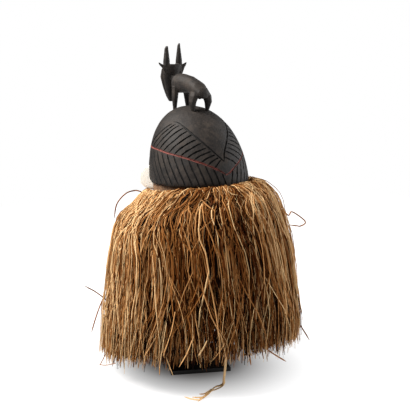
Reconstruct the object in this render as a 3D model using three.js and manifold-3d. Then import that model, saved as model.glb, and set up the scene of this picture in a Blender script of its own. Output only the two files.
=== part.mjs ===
// A carved wooden helmet mask with an antelope on its crown, a raffia fringe tied round its neck,
// and the plate, post and rest that hold it up.
//
// Millimetres, +Z up. The origin lies on the floor in the middle of the part. The mask looks
// along -Y, its own left is +X, and the middle of its back is on +Y.

import * as THREE from 'three';
import { mergeVertices } from 'three/addons/utils/BufferGeometryUtils.js';
import Module from 'manifold-3d';

const wasm = await Module();
wasm.setup();

// Driving dimensions of the helmet
const RIM_Z = 500;
const CROWN_Z = 696;
const RIM_RADIUS = 130;
const CROWN_FORWARD = 40;
const CAP_PROUD = 9;
const CAVITY_RADIUS = 108;
const CEILING_Z = 678;
const CEILING_FORWARD = 36;
const NECK_BELOW_RING = 28;

// Driving dimensions of the fringe
const RING_Z = 458;
const RING_SLOPE = 0.18;
const CORD_RING_RADIUS = 123;
const CORD_RADIUS = 4;
const GAP = 0.3;
const FRONT_DIP_TURN = 190;
const SWING = 6;

// Driving dimensions of the stand
const PLATE_SIDE = 160;
const PLATE_THICK = 12;
const PLATE_TURN = THREE.MathUtils.degToRad(-25.7);
const PLATE_X = 8.7;
const PLATE_Y = -6.1;
const POST_RADIUS = 8;
const REST_BOTTOM = 640;
const REST_RADIUS = 42;

// How finely round things are divided
const CAP_COLUMNS = 36;
const FRINGE_COLUMNS = 52;
const FACE_COLUMNS = 19;
const FACE_ROWS = 21;

const rad = THREE.MathUtils.degToRad;
const { lerp, smoothstep } = THREE.MathUtils;
const point = (x, y, z) => new THREE.Vector3(x, y, z);
const bump = (distance, width) => Math.exp(-((distance / width) ** 2));
const range = (count) => Array.from({ length: count }, (_, i) => i);

// Solids and meshes

function signedVolume(points, faces) {
  let sum = 0;
  for (const [a, b, c] of faces) {
    sum += points[a].dot(point().crossVectors(points[b], points[c]));
  }
  return sum / 6;
}

function solidFrom(points, faces) {
  const outward = signedVolume(points, faces) > 0;
  const turned = outward ? faces : faces.map(([a, b, c]) => [a, c, b]);
  return new wasm.Manifold(new wasm.Mesh({
    numProp: 3,
    vertProperties: new Float32Array(points.flatMap((p) => [p.x, p.y, p.z])),
    triVerts: new Uint32Array(turned.flat()),
  }));
}

function solidOfGeometry(geometry) {
  const bare = geometry.clone();
  bare.deleteAttribute('normal');
  bare.deleteAttribute('uv');
  const merged = mergeVertices(bare, 1e-4);
  const position = merged.getAttribute('position');
  const points = range(position.count).map((i) => point().fromBufferAttribute(position, i));
  const index = Array.from(merged.index.array);
  const faces = range(index.length / 3).map((i) => index.slice(3 * i, 3 * i + 3));
  return solidFrom(points, faces);
}

function geometryOf(solid) {
  const mesh = solid.getMesh();
  const geometry = new THREE.BufferGeometry();
  geometry.setAttribute('position', new THREE.BufferAttribute(mesh.vertProperties, 3));
  geometry.setIndex(new THREE.BufferAttribute(mesh.triVerts, 1));
  return geometry;
}

// Skins a row of rings that all have the same number of points. An open row gets a fan at each
// end, and a closed row runs back into its first ring.
function loft(rings, closed = false) {
  const count = rings[0].length;
  const points = rings.flat();
  const faces = [];
  const spans = closed ? rings.length : rings.length - 1;
  for (const i of range(spans)) {
    const here = i * count;
    const next = ((i + 1) % rings.length) * count;
    for (const j of range(count)) {
      const k = (j + 1) % count;
      faces.push([here + j, here + k, next + k], [here + j, next + k, next + j]);
    }
  }
  if (!closed) {
    const last = (rings.length - 1) * count;
    const middle = (ring) => ring.reduce((sum, p) => sum.add(p), point()).divideScalar(count);
    points.push(middle(rings[0]), middle(rings[rings.length - 1]));
    for (const j of range(count)) {
      const k = (j + 1) % count;
      faces.push([k, j, points.length - 2], [last + j, last + k, points.length - 1]);
    }
  }
  return solidFrom(points, faces);
}

// An ellipse round a centre, in the plane of two half-axes
function ellipse(centre, across, along, sides) {
  return range(sides).map((i) => {
    const turn = (2 * Math.PI * i) / sides;
    return centre.clone().addScaledVector(across, Math.cos(turn)).addScaledVector(along, Math.sin(turn));
  });
}

function taperedLimb(stations, sides) {
  const rings = stations.map(([x, y, z, halfX, halfY]) => (
    ellipse(point(x, y, z), point(halfX, 0, 0), point(0, halfY, 0), sides)));
  return loft(rings);
}

const joined = (solids) => solids.reduce((sum, solid) => sum.add(solid));
const mirrored = (make) => [make(1), make(-1)];

// The cap: a dome that leans forward as it rises

const capRise = (z) => THREE.MathUtils.clamp((z - RIM_Z) / (CROWN_Z - RIM_Z), 0, 1);
const domeCurve = (t) => Math.max(1 - t ** 2.2, 0) ** (1 / 2.1);
const capRadius = (z) => RIM_RADIUS * domeCurve(capRise(z));
const capForward = (z) => CROWN_FORWARD * capRise(z) ** 1.2;

// A point on the cap, by its turn from the middle of the back towards +X, and its height
function onCap(degrees, z, inward = 0) {
  const radius = capRadius(z) - inward;
  return point(radius * Math.sin(rad(degrees)), radius * Math.cos(rad(degrees)) - capForward(z), z);
}

function capNormal(degrees, z) {
  const sideways = onCap(degrees + 1, z).sub(onCap(degrees - 1, z));
  const upward = onCap(degrees, z + 1).sub(onCap(degrees, z - 1));
  return upward.cross(sideways).normalize();
}

function capRing(z, inward = 0) {
  return range(CAP_COLUMNS).map((i) => onCap((360 * i) / CAP_COLUMNS, z, inward));
}

// Heights from the rim to just under a top, closer together where a dome turns in
function domeHeights(top, steps) {
  return range(steps + 1).map((i) => lerp(RIM_Z, top - 1, Math.sin((Math.PI / 2) * (i / steps))));
}

const capDome = () => loft(domeHeights(CROWN_Z, 8).map((z) => capRing(z)));

// The hair line over the face is an arch that the cap's edge follows
function hairlineArch() {
  const shape = new THREE.Shape();
  shape.moveTo(-106, RIM_Z - 20);
  shape.lineTo(-101, 520);
  shape.bezierCurveTo(-92, 560, -66, 601, 0, 601);
  shape.bezierCurveTo(66, 601, 92, 560, 101, 520);
  shape.lineTo(106, RIM_Z - 20);
  const block = new THREE.ExtrudeGeometry(shape, { depth: 180, bevelEnabled: false, curveSegments: 7 });
  block.rotateX(Math.PI / 2);
  return solidOfGeometry(block.translate(0, -25, 0));
}

// Head and neck under the cap

const ringPlaneZ = (y) => RING_Z + RING_SLOPE * y;

function neckRing(radius, fromRing) {
  return range(CAP_COLUMNS).map((i) => {
    const turn = rad((360 * i) / CAP_COLUMNS);
    const y = radius * Math.cos(turn);
    return point(radius * Math.sin(turn), y, ringPlaneZ(y) + fromRing);
  });
}

function headCore() {
  const heights = [RIM_Z, 530, 560, 585, 610];
  return loft([
    neckRing(123.5, -NECK_BELOW_RING),
    neckRing(122, 0),
    ...heights.map((z) => capRing(z, CAP_PROUD)),
  ]);
}

function cavity() {
  const ring = (z) => {
    const t = THREE.MathUtils.clamp((z - RIM_Z) / (CEILING_Z - RIM_Z), 0, 1);
    const radius = CAVITY_RADIUS * domeCurve(t);
    return range(24).map((i) => {
      const turn = rad((360 * i) / 24);
      return point(radius * Math.sin(turn), radius * Math.cos(turn) - CEILING_FORWARD * t ** 1.2, z);
    });
  };
  return loft([380, ...domeHeights(CEILING_Z, 6)].map(ring));
}

// The face, as how far each spot stands out from the head's axis

const FACE_TOP = 597;
const FACE_CHIN = 446.5;
const FACE_MIDDLE = 528;
const FACE_HALF_WIDTH = 82;
const FACE_BACK = 80;
const EYE_X = 30;
const EYE_Z = 530;

function faceHalfWidth(z) {
  return FACE_HALF_WIDTH * (1 - Math.abs((z - FACE_MIDDLE) / 84) ** 2.6) ** (1 / 2.2);
}

function faceDepth(x, z) {
  const side = Math.abs(x);
  const profile = lerp(136, 127, smoothstep(z, 550, 600)) + 3 * bump(z - 545, 14);
  const round = Math.sqrt(1 - (side / 90) ** 2);
  const browLine = 543 - 0.004 * (side - EYE_X) ** 2;
  const noseWidth = lerp(15, 6, smoothstep(z, 500, 540));
  const nose = lerp(20, 5, smoothstep(z, 502, 550)) * smoothstep(z, 493, 500) * (z < 556);
  return lerp(92, profile, round)
    + 5 * bump(z - browLine, 6) * (side < 62)
    - 12 * bump(side - EYE_X, 19) * bump(z - EYE_Z - 1, 12)
    + 8 * bump(side - EYE_X, 14) * bump(z - EYE_Z, 8.5)
    + nose * bump(side, noseWidth)
    + 6 * bump(side - 13, 6) * bump(z - 503, 6)
    + 4 * bump(side - 44, 17) * bump(z - 506, 18)
    + 7 * bump(side, 20) * (bump(z - 483, 4.5) + bump(z - 471, 4.5))
    + 6 * bump(side, 24) * bump(z - 456, 8);
}

function facePlate() {
  const rings = range(FACE_ROWS).map((j) => {
    const z = lerp(FACE_CHIN, FACE_TOP, j / (FACE_ROWS - 1));
    const half = faceHalfWidth(z);
    const front = range(FACE_COLUMNS).map((i) => {
      const u = (2 * i) / (FACE_COLUMNS - 1) - 1;
      const x = half * u * (0.72 + 0.28 * u * u);
      return point(x, -faceDepth(x, z), z);
    });
    return [...front, point(half, -FACE_BACK, z), point(-half, -FACE_BACK, z)];
  });
  return loft(rings);
}

function eyeSlit(side) {
  const shape = new THREE.Shape();
  shape.moveTo(-17, 0);
  shape.quadraticCurveTo(0, 5, 17, 0);
  shape.quadraticCurveTo(0, -5, -17, 0);
  const slot = new THREE.ExtrudeGeometry(shape, { depth: 100, bevelEnabled: false, curveSegments: 4 });
  slot.rotateX(Math.PI / 2);
  return solidOfGeometry(slot.translate(side * EYE_X, -85, EYE_Z));
}

// A C-shaped ear beside the face, with a hollow in its front side
const EAR_TURN = rad(58);
const EAR_RADIUS = 124;
const EAR_Z = 508;

function halfEllipsePlate(reach, height, root, depth) {
  const shape = new THREE.Shape();
  shape.moveTo(root, -height);
  shape.lineTo(0, -height);
  shape.absellipse(0, 0, reach, height, -Math.PI / 2, Math.PI / 2);
  shape.lineTo(root, height);
  return new THREE.ExtrudeGeometry(shape, { depth, bevelEnabled: false, curveSegments: 5 });
}

function ear(side) {
  const blank = halfEllipsePlate(36, 30, -10, 15);
  const hollow = halfEllipsePlate(26, 20, -2, 9).translate(0, 0, 8);
  const outward = point(side * Math.sin(EAR_TURN), -Math.cos(EAR_TURN), 0);
  const forward = point(-side * Math.cos(EAR_TURN), -Math.sin(EAR_TURN), 0);
  const place = new THREE.Matrix4().makeBasis(outward, point(0, 0, 1), forward);
  const root = outward.clone().multiplyScalar(EAR_RADIUS).addScaledVector(forward, -4).setZ(EAR_Z);
  place.setPosition(root);
  const [plate, recess] = [blank, hollow].map((shape) => solidOfGeometry(shape.applyMatrix4(place)));
  return plate.subtract(recess);
}

// Carved lines on the cap

const GROOVE_HALF_WIDTH = 2.1;
const GROOVE_DEPTH = 2.6;
const GROOVE_STEP = 52;
const CUTTER_PROUD = 2.4;

// Cuts a V-shaped groove along the cap between two places given as [degrees, height]. A bow lifts
// its middle.
function groove([turnA, zA], [turnB, zB], bow = 0) {
  const length = onCap(turnA, zA).distanceTo(onCap(turnB, zB));
  const steps = Math.max(1, Math.ceil(length / GROOVE_STEP));
  const rings = range(steps + 1).map((i) => {
    const t = i / steps;
    const turn = lerp(turnA, turnB, t);
    const z = lerp(zA, zB, t) + bow * 4 * t * (1 - t);
    const out = capNormal(turn, z);
    const surface = onCap(turn, z);
    const ahead = onCap(lerp(turnA, turnB, t + 0.05), z + 0.05 * (zB - zA)).sub(surface).normalize();
    const across = point().crossVectors(out, ahead).normalize();
    const proud = surface.clone().addScaledVector(out, CUTTER_PROUD);
    const lip = (side) => proud.clone().addScaledVector(across, side * 1.6 * GROOVE_HALF_WIDTH);
    return [lip(-1), lip(1), surface.clone().addScaledVector(out, -GROOVE_DEPTH)];
  });
  return loft(rings);
}

// The plain lobe at the back of the crown ends in a V, and a painted line crosses the back below
// it. Both are heights by the turn from the middle of the back.
const LOBE_TURN = 3;
const LOBE_TIP_Z = 564;
const FAN_BELOW_LOBE = 7;

function lobeZ(turn) {
  const away = Math.abs(turn - LOBE_TURN);
  const left = 96 * Math.sin(rad(Math.min(1.3 * away, 90)));
  const right = 97 * Math.min(away / 50, 1) ** 0.58;
  return LOBE_TIP_Z + (turn > LOBE_TURN ? left : right);
}

const paintZ = (turn) => 531 + 68 * (1 - Math.exp(-Math.abs(turn - 2) / 44));

// The fans' lines leave the V farther and farther apart, and more so on the left
const fanTop = (side, k) => (side > 0 ? 6.5 + 3.2 * k + 0.2 * k * k : 1 - 3.7 * k - 0.15 * k * k);
const fanLow = (side, k) => (side > 0 ? 16 + 7.4 * k + 0.07 * k * k : -15 - 9.2 * k);

function carvedLines() {
  const cuts = [];
  for (const side of [1, -1]) {
    for (const k of range(13)) {
      const [top, low] = [fanTop(side, k), fanLow(side, k)];
      const [topZ, lowZ] = [lobeZ(top) - FAN_BELOW_LOBE, paintZ(low) + 3];
      cuts.push(groove([top, topZ], [low, lowZ], 0.12 * (topZ - lowZ)));
    }
    for (const k of range(12)) {
      const top = 1 + side * (8 + 9.2 * k);
      const low = 1 + side * (2.5 + 7.8 * k);
      cuts.push(groove([top, paintZ(top) - 3], [low, RIM_Z + 2]));
    }
    const lobe = [0, 8, 22, 45, 78].map((turn) => LOBE_TURN + side * turn);
    for (const i of range(lobe.length - 1)) {
      cuts.push(groove([lobe[i], lobeZ(lobe[i])], [lobe[i + 1], lobeZ(lobe[i + 1])]));
    }
  }
  return joined(cuts);
}

// The antelope, which looks the same way as the mask

const HEAD_X = 3;
const HEAD_Y = -114;

function antelopeBody() {
  const stations = [
    // y, middle z, half width, half height
    [27, 726, 6, 6],
    [20, 729, 17, 13],
    [2, 738, 23, 20],
    [-35, 752, 22, 23],
    [-68, 756, 24, 27],
    [-90, 756, 25, 28],
  ];
  return loft(stations.map(([y, z, halfX, halfZ]) => (
    ellipse(point(0, y, z), point(halfX, 0, 0), point(0, 0, halfZ), 12))));
}

function antelopeHead() {
  const neck = loft([
    ellipse(point(0, -80, 749), point(16, 0, 0), point(0, 6, 17), 10),
    ellipse(point(0, -112, 774), point(15, 0, 0), point(0, 8, 13), 10),
  ]);
  const skull = taperedLimb([
    [HEAD_X, -125, 704, 5, 6],
    [HEAD_X, -127, 716, 10.5, 10.5],
    [HEAD_X, -128, 742, 20, 17],
    [HEAD_X, -127, 768, 27, 22],
    [HEAD_X, -121, 790, 27, 22],
    [HEAD_X, HEAD_Y, 801, 24, 14],
  ], 12);
  return neck.add(skull);
}

function antelopeLimbs(side) {
  const front = taperedLimb([
    [side * 21, -79.5, 680, 4.6, 4.8],
    [side * 20, -80.5, 715, 7.8, 8.2],
    [side * 17, -82, 745, 9.5, 10],
  ], 8);
  const stride = side > 0 ? -8 : 0;
  const hind = taperedLimb([
    [side * 21, 5 + 0.4 * stride, 674, 4.8, 5],
    [side * 22, 9.5 + stride, 706, 9.5, 11.5],
    [side * 17, 9 + stride, 724, 11.5, 14],
    [side * 9, 4 + stride, 744, 9, 13],
  ], 8);
  const hornX = HEAD_X + side * 20;
  const [hornTip, tipRadius] = side > 0 ? [848, 4.6] : [857, 3.4];
  const horn = taperedLimb([
    [hornX, HEAD_Y, 785, 9.6, 9.6],
    [hornX, HEAD_Y, hornTip, tipRadius, tipRadius],
  ], 8);
  const earlobe = loft([
    ellipse(point(HEAD_X + side * 24, -110, 778), point(0, 5, 0), point(-side * 5, 0, 3), 6),
    ellipse(point(HEAD_X + side * 33, -109, 793), point(0, 4.5, 0), point(-side * 6.5, 0, 3.5), 6),
    ellipse(point(HEAD_X + side * 41, -108, 809), point(0, 1.4, 0), point(-side * 1.8, 0, 0.8), 6),
  ]);
  return joined([front, hind, horn, earlobe]);
}

const antelope = () => joined([antelopeBody(), antelopeHead(), ...mirrored(antelopeLimbs)]);

// The cord round the neck. A looser one cuts its seat in the wood.
function cordRing(radius) {
  const rings = range(CAP_COLUMNS).map((i) => {
    const turn = rad((360 * i) / CAP_COLUMNS);
    const out = point(Math.sin(turn), Math.cos(turn), 0);
    const centre = out.clone().multiplyScalar(CORD_RING_RADIUS);
    return ellipse(centre.setZ(ringPlaneZ(centre.y)), out.multiplyScalar(radius), point(0, 0, radius), 6);
  });
  return loft(rings, true);
}

function woodenMask() {
  const cap = capDome().subtract(hairlineArch());
  const head = joined([cap, headCore(), facePlate(), ...mirrored(ear)]);
  const carved = head.add(antelope()).subtract(carvedLines());
  return carved.subtract(joined([cavity(), cordRing(CORD_RADIUS + GAP), ...mirrored(eyeSlit)]));
}

// The raffia: a thick skirt that springs up and out from the cord before it hangs, and has swung
// a little to one side

function raffiaProfile() {
  const root = CORD_RING_RADIUS + CORD_RADIUS + GAP;
  return [
    // radius, height, slope along Y, slope along X, how far the front dips under the chin
    [root, 467, 0.17, -0.02, 20],
    [134, 487, 0.11, -0.03, 38],
    [150, 490, 0.11, -0.06, 38],
    [170, 477, 0.1, -0.11, 30],
    [188, 463, 0.09, -0.1, 22],
    [204, 444, 0.08, -0.08, 12],
    [219, 410, 0.06, -0.05, 4],
    [232, 366, 0.03, -0.02, 0],
    [247, 290, 0, 0, 0],
    [256, 205, 0, 0, 0],
    [263, 125, 0, 0, 0],
    [261, HEM_Z, 0, 0, 0],
    [232, HEM_Z - 2, 0, 0, 0],
    [226, 170, 0, 0, 0],
    [215, 320, 0, 0, 0],
    [194, 396, 0.05, -0.04, 0],
    [163, 438, 0.12, -0.05, 8],
    [root, 452, 0.18, 0, 6],
  ];
}

// The fibres' ends make an uneven hem: its height by the turn from the middle of the back, where
// it is shortest, towards +X
const HEM_Z = 58;
const HEM = [
  [-180, 58], [-60, 82], [-30, 96], [0, 98], [14, 110], [50, 102], [64, 78], [88, 68],
  [100, 58], [120, 66], [180, 58],
];

function hemAt(degrees) {
  const i = HEM.findIndex(([turn]) => turn > degrees);
  const [[turnA, zA], [turnB, zB]] = [HEM[i - 1], HEM[i]];
  return lerp(zA, zB, (degrees - turnA) / (turnB - turnA));
}

// Hanks of fibre stand out as soft ridges
function hankRidge(turn, radius, z) {
  const ridge = 2.2 * Math.cos(12 * turn) + 1.4 * Math.cos(20 * turn) * Math.cos(z / 60);
  return ridge * smoothstep(radius, 160, 240);
}

function fringeRing([radius, height, slopeY, slopeX, dip]) {
  return range(FRINGE_COLUMNS).map((i) => {
    const degrees = (360 * i) / FRINGE_COLUMNS - 180;
    const turn = rad(degrees);
    const reach = radius + hankRidge(turn, radius, height);
    const x = reach * Math.sin(turn);
    const y = reach * Math.cos(turn);
    const front = smoothstep(Math.cos(turn - rad(FRONT_DIP_TURN)), 0.5, 0.8);
    const shorter = (hemAt(degrees) - HEM_Z) * (1 - smoothstep(height, HEM_Z, 200));
    const swing = SWING * smoothstep(radius, 175, 225) * smoothstep(height, HEM_Z, 260);
    const z = height + slopeY * y + slopeX * x - dip * front + shorter;
    return point(x - 0.8 * swing, y + 0.6 * swing, z);
  });
}

const raffiaFringe = () => loft(raffiaProfile().map(fringeRing), true);

// The stand

function standBase() {
  const half = PLATE_SIDE / 2;
  const edge = 1.5;
  const outline = (inset, z) => [[1, 1], [-1, 1], [-1, -1], [1, -1]].map(([sx, sy]) => {
    const corner = point(sx * (half - inset), sy * (half - inset), z);
    return corner.applyAxisAngle(point(0, 0, 1), PLATE_TURN).add(point(PLATE_X, PLATE_Y, 0));
  });
  return loft([outline(0, 0), outline(0, PLATE_THICK - edge), outline(edge, PLATE_THICK)]);
}

function standPost() {
  const profile = [
    [0, PLATE_THICK + GAP],
    [24, PLATE_THICK + GAP],
    [24, PLATE_THICK + 6],
    [POST_RADIUS, PLATE_THICK + 9],
    [POST_RADIUS, REST_BOTTOM - 8],
    [22, REST_BOTTOM - 6],
    [22, REST_BOTTOM - GAP],
    [0, REST_BOTTOM - GAP],
  ].map(([radius, z]) => new THREE.Vector2(radius, z));
  const turned = new THREE.LatheGeometry(profile, 16).rotateX(Math.PI / 2);
  return solidOfGeometry(turned.translate(PLATE_X, PLATE_Y, 0));
}

// The rest fits under the ceiling of the hollow: it is the top of a slightly smaller hollow
function standRest() {
  const ceiling = cavity().translate(0, 0, -GAP - 0.2);
  const column = new THREE.CylinderGeometry(REST_RADIUS, REST_RADIUS - 6, 60, 20).rotateX(Math.PI / 2);
  const pad = solidOfGeometry(column.translate(PLATE_X - 4, PLATE_Y - 14, REST_BOTTOM + 30));
  return pad.intersect(ceiling);
}

// The scene graph

const darkWood = new THREE.MeshStandardMaterial({ color: 0x2b2420, roughness: 0.62, metalness: 0 });
const fibre = new THREE.MeshStandardMaterial({ color: 0xb28748, roughness: 0.85, metalness: 0 });
const twine = new THREE.MeshStandardMaterial({ color: 0x8a6a3c, roughness: 0.9, metalness: 0 });
const blackPaint = new THREE.MeshStandardMaterial({ color: 0x101010, roughness: 0.4, metalness: 0.1 });
const felt = new THREE.MeshStandardMaterial({ color: 0x1c1b1a, roughness: 0.95, metalness: 0 });

function named(name, solid, material) {
  const mesh = new THREE.Mesh(geometryOf(solid), material);
  mesh.name = name;
  return mesh;
}

const stand = new THREE.Group();
stand.add(named('stand_base', standBase(), blackPaint));
stand.add(named('stand_post', standPost(), blackPaint));
stand.add(named('stand_rest', standRest(), felt));

const helmetMask = new THREE.Group();
helmetMask.add(named('wooden_mask', woodenMask(), darkWood));
helmetMask.add(named('fringe_cord', cordRing(CORD_RADIUS), twine));
helmetMask.add(named('raffia_fringe', raffiaFringe(), fibre));
helmetMask.add(stand);

export default helmetMask;
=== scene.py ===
# %% [markdown]
# # A carved helmet mask with a raffia fringe
#
# The real object is a helmet hollowed from one block of wood, with an antelope standing on its
# crown. Its cap is cut with fans of grooves and crossed by a painted line. Thousands of raffia
# fibres are knotted on a cord round the neck, and a plate, post and rest hold the mask up. The
# packed solids give every place and size, and this lesson makes the surfaces.

import math
from contextlib import contextmanager

import bpy
import numpy as np
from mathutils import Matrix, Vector, noise


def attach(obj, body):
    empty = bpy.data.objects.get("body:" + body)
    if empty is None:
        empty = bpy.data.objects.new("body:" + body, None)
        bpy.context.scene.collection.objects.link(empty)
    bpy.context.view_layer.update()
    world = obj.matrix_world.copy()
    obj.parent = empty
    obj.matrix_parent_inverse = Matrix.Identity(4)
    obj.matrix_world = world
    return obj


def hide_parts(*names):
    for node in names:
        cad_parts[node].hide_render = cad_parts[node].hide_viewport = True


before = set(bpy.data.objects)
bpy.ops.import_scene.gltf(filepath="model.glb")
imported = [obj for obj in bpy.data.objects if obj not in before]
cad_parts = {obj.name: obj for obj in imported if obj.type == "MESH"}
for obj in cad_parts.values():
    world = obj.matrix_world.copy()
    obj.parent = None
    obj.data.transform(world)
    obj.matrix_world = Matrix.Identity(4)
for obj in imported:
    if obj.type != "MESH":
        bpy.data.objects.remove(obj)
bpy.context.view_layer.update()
MM = 0.001

# %% [markdown]
# ## Picking objects by code
#
# Blender's operators act on what is selected, and the loaded solids come in selected. So one helper
# selects just the pieces an operator should work on, and another holds one in edit mode for as long
# as its block lasts. A third adds a modifier and applies it, so that the piece keeps a plain mesh.

# %% Picking and applying
def pick(*pieces):
    """Selects these pieces and nothing else, the first one active"""
    bpy.ops.object.select_all(action="DESELECT")
    for piece in pieces:
        piece.select_set(True)
    if pieces:
        bpy.context.view_layer.objects.active = pieces[0]


@contextmanager
def editing(piece):
    """Edit mode on one piece, with its whole mesh selected"""
    pick(piece)
    bpy.ops.object.mode_set(mode="EDIT")
    bpy.ops.mesh.select_all(action="SELECT")
    yield
    bpy.ops.object.mode_set(mode="OBJECT")


def added(name, data):
    """A new object for a mesh or a curve"""
    piece = bpy.data.objects.new(name, data)
    bpy.context.scene.collection.objects.link(piece)
    pick(piece)
    return piece


def applied(piece, kind, **settings):
    """Adds a modifier and applies it at once"""
    modifier = piece.modifiers.new(kind, kind)
    for name, value in settings.items():
        setattr(modifier, name, value)
    pick(piece)
    bpy.ops.object.modifier_apply(modifier=modifier.name)


def settled(piece, name):
    """Names the piece and puts its place, turn and scale into its mesh"""
    piece.name = piece.data.name = name
    pick(piece)
    bpy.ops.object.transform_apply(location=True, rotation=True, scale=True)
    return piece


def points_of(piece):
    """The mesh's points in millimetres"""
    flat = np.empty(len(piece.data.vertices) * 3, np.float32)
    piece.data.vertices.foreach_get("co", flat)
    return flat.reshape(-1, 3).astype(float) / MM


def move_points(piece, points):
    piece.data.vertices.foreach_set("co", (points * MM).astype(np.float32).ravel())
    piece.data.update()
    return piece


def outward(piece):
    """Merges doubles, then turns every face of a closed mesh outwards"""
    with editing(piece):
        bpy.ops.mesh.remove_doubles(threshold=0.01 * MM)
        bpy.ops.mesh.normals_make_consistent(inside=False)
    return piece


pick()
print("nodes to dress:", sorted(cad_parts))

# %% [markdown]
# ## The camera
#
# The photograph looks at the mask from its back left. The plate's edges and the cap's rim fix the
# camera. It could be a matrix, but a distance, a turn from the mask's back and a height are easier
# to read and to change.

# %% The camera
PICTURE_SIDE = 410
FOCAL_PIXELS = 900
CAMERA_DISTANCE = 2.337
CAMERA_HEIGHT = 0.861
CAMERA_TURN = math.radians(36.6)
CAMERA_DOWN = math.radians(10.29)
CAMERA_ASIDE = math.radians(0.37)

towards_camera = Vector((math.sin(CAMERA_TURN), math.cos(CAMERA_TURN), 0))
bpy.ops.object.camera_add(
    location=towards_camera * CAMERA_DISTANCE + Vector((0, 0, CAMERA_HEIGHT)),
    rotation=(math.pi / 2 - CAMERA_DOWN, 0, math.pi - CAMERA_TURN - CAMERA_ASIDE),
)
camera = bpy.context.object
camera.data.sensor_width = 36
camera.data.lens = FOCAL_PIXELS / PICTURE_SIDE * camera.data.sensor_width
bpy.context.scene.camera = camera
print(f"lens {camera.data.lens:.1f} mm at {tuple(round(v, 3) for v in camera.location)}")

# %% [markdown]
# ## Shader maths as Python
#
# A material is a net of nodes, and long nets are hard to read. So a small class wraps a node's
# output, and plus, minus and times on it add the Math nodes. Every other node comes from one
# method, which sets the node's own settings first and its sockets after.

# %% A wire
class Wire:
    """A node's output that Python's operators work on"""

    def __init__(self, finish, socket):
        self.finish = finish
        self.socket = socket

    def maths(self, operation, *values):
        return self.finish.node("ShaderNodeMath", {"operation": operation}, dict(enumerate(values)))

    def __add__(self, other):
        return self.maths("ADD", self, other)

    def __sub__(self, other):
        return self.maths("SUBTRACT", self, other)

    def __mul__(self, other):
        return self.maths("MULTIPLY", self, other)

    def __rsub__(self, other):
        return self.maths("SUBTRACT", other, self)

    __radd__ = __add__
    __rmul__ = __mul__


print("reflected operators:", [name for name in vars(Wire) if name.startswith("__r")])


# %% A finish
class Finish:
    """A material under construction. Values that are the same all over go in by name."""

    def __init__(self, name, **sockets):
        self.material = bpy.data.materials.new(name)
        self.material.use_nodes = True
        self.tree = self.material.node_tree
        self.shader = self.tree.nodes["Principled BSDF"]
        self.place = self.node("ShaderNodeTexCoord", output="Object")
        for socket, value in sockets.items():
            self.shader.inputs[socket.replace("_", " ")].default_value = value

    def node(self, kind, settings=None, sockets=None, output=0):
        made = self.tree.nodes.new(kind)
        for name, value in (settings or {}).items():
            if name == "stops":
                self.fill_ramp(made.color_ramp, value)
            else:
                setattr(made, name, value)
        for name, value in (sockets or {}).items():
            if isinstance(value, Wire):
                self.tree.links.new(value.socket, made.inputs[name])
            else:
                made.inputs[name].default_value = value
        return Wire(self, made.outputs[output])

    @staticmethod
    def fill_ramp(ramp, stops):
        while len(ramp.elements) < len(stops):
            ramp.elements.new(1)
        for element, (place, colour) in zip(ramp.elements, stops):
            element.position = place
            element.color = (*colour, 1)

    def noise(self, scale, detail=3, roughness=0.55, stretch=None):
        """Soft noise over the piece. A stretch gives it a scale of its own along X, Y and Z."""
        place = self.place
        if stretch:
            place = self.node("ShaderNodeMapping", {}, {"Vector": place, "Scale": stretch})
        sockets = {"Vector": place, "Scale": scale, "Detail": detail, "Roughness": roughness}
        return self.node("ShaderNodeTexNoise", {}, sockets)

    def step(self, value, low, high):
        """Rises smoothly from 0 at low to 1 at high"""
        sockets = {"Value": value, "From Min": low, "From Max": high}
        return self.node("ShaderNodeMapRange", {"interpolation_type": "SMOOTHSTEP"}, sockets)

    def mix(self, share, first, second):
        """Mixes two colours. The Mix node keeps them in its sockets 6 and 7, and the share in 0."""
        sockets = {0: share, 6: first, 7: second}
        for index in (6, 7):
            if isinstance(sockets[index], tuple):
                sockets[index] = (*sockets[index], 1)
        return self.node("ShaderNodeMix", {"data_type": "RGBA"}, sockets, output=2)

    def paint(self, colour, roughness, height=None, depth=0.001, strength=1.0):
        """Joins the varying colour, roughness and relief to the shader"""
        wires = {"Base Color": colour, "Roughness": roughness}
        if height:
            relief = {"Height": height, "Distance": depth, "Strength": strength}
            wires["Normal"] = self.node("ShaderNodeBump", {}, relief)
        for socket, wire in wires.items():
            self.tree.links.new(wire.socket, self.shader.inputs[socket])
        return self.material


print("a finish offers:", [name for name in vars(Finish) if not name.startswith("_")])

# %% [markdown]
# ## Finishes of the wood
#
# The wood was stained nearly black and has worn to a soft grey-brown sheen. The tone drifts slowly,
# fine grain runs up the block, and small dents catch the light. The grooves keep the darkest stain,
# the painted line is a dull red that has rubbed off in places, and the face and ears are rubbed with
# white clay, painted darker on the face as painted shade and near white on the ears as painted light.
# An image would need unwrapping, so all of it is noise, which has no seams.

# %% Wood, paint and clay
def grain_of(finish):
    """Long fibres that run up the block, and the fine pores between them"""
    return finish.noise(1, 4, 0.6, (260, 260, 18)), finish.noise(1, 2, stretch=(900, 900, 120))


def dark_wood():
    finish = Finish("stained_wood", Specular_IOR_Level=0.26)
    fibres, pores = grain_of(finish)
    drift = finish.noise(14, 4, 0.6)
    worn = finish.step(finish.noise(34, 6, 0.7), 0.46, 0.7)
    stain = finish.mix(finish.step(drift, 0.35, 0.68), (0.0045, 0.0035, 0.0031), (0.0130, 0.0098, 0.0080))
    rubbed = finish.mix(worn * 0.6, stain, (0.045, 0.034, 0.026))
    colour = finish.mix(finish.step(fibres, 0.42, 0.7) * 0.4, rubbed, (0.039, 0.028, 0.022))
    height = 0.7 * fibres + 0.3 * pores + 0.8 * finish.noise(120, 2)
    return finish.paint(colour, 0.58 + 0.16 * drift + 0.1 * worn, height, 0.0009, 0.55)


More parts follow.
